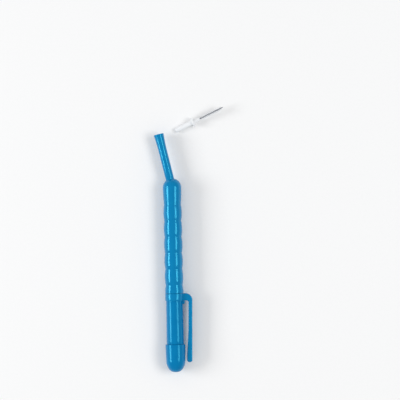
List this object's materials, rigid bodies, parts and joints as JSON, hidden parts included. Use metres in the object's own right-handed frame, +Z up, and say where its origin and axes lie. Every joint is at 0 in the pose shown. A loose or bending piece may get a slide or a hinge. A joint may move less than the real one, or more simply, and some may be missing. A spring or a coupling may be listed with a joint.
{
  "type": "interdental brush",
  "caption": "Slim angled interdental brush handle with finger rings, a parked travel cap with a pocket clip and a loose push-in twisted-wire brush.",
  "frame": {"origin": "on the surface that the set lies on, under the middle of its bounding box", "axes": "+Y along the handle from its end cap to its neck, +X to the side that the clip and the loose brush are on, +Z up"},
  "size_m": [0.0355, 0.1349, 0.0102],
  "materials": {
    "grip_plastic": "gloss",
    "cap_plastic": "gloss",
    "base_plastic": "satin",
    "wire_steel": "bright drawn",
    "filament_nylon": "translucent"
  },
  "bodies": {
    "handle": {"grip_barrel": "grip_plastic", "angled_neck": "grip_plastic"},
    "cap": {"cap_tube": "cap_plastic", "pocket_clip": "grip_plastic"},
    "end": {"cap_end": "cap_plastic"},
    "brush": {"brush_base": "base_plastic", "twisted_wire": "wire_steel", "bristles": "filament_nylon"}
  },
  "joints": [
    {"name": "cap_slide", "type": "slide", "parent": "handle", "child": "cap", "axis": [0, -1, 0], "range_m": [0, 0.02]},
    {"name": "end_cap_slide", "type": "slide", "parent": "cap", "child": "end", "axis": [0, -1, 0], "range_m": [0, 0.012]},
    {"name": "brush_slide", "type": "slide", "parent": "handle", "child": "brush", "axis": [0.9063, 0.4226, 0], "range_m": [0, 0.03]}
  ]
}
